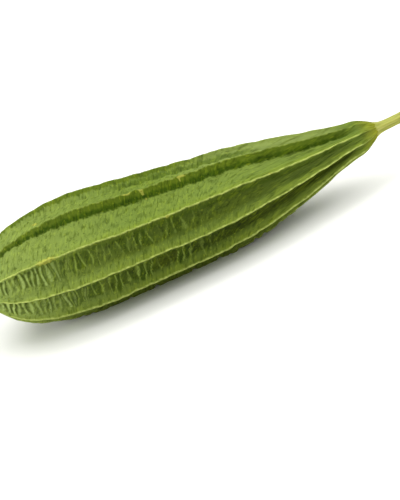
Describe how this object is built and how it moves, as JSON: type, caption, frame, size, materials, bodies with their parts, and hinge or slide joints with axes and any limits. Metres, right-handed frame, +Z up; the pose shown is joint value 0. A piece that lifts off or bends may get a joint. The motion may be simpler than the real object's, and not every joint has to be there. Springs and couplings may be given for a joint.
{
  "type": "ridge gourd",
  "caption": "Whole ridge gourd as picked, lying on its side: long tapered green fruit with sharp lengthwise ridges and a short curved stalk.",
  "frame": {"origin": "on the surface that the gourd lies on, below the middle of its bounding box", "axes": "+X along the gourd from the blossom end to the stalk, +Z up, -Y the side that the picture shows"},
  "size_m": [0.3082, 0.0756, 0.0723],
  "materials": {
    "gourd_skin": "matt green skin with a soft sheen, paler along the ridges",
    "green_stalk": "satin yellow-green stem"
  },
  "bodies": {
    "root": {"gourd_fruit": "gourd_skin", "fruit_stalk": "green_stalk"}
  },
  "joints": []
}
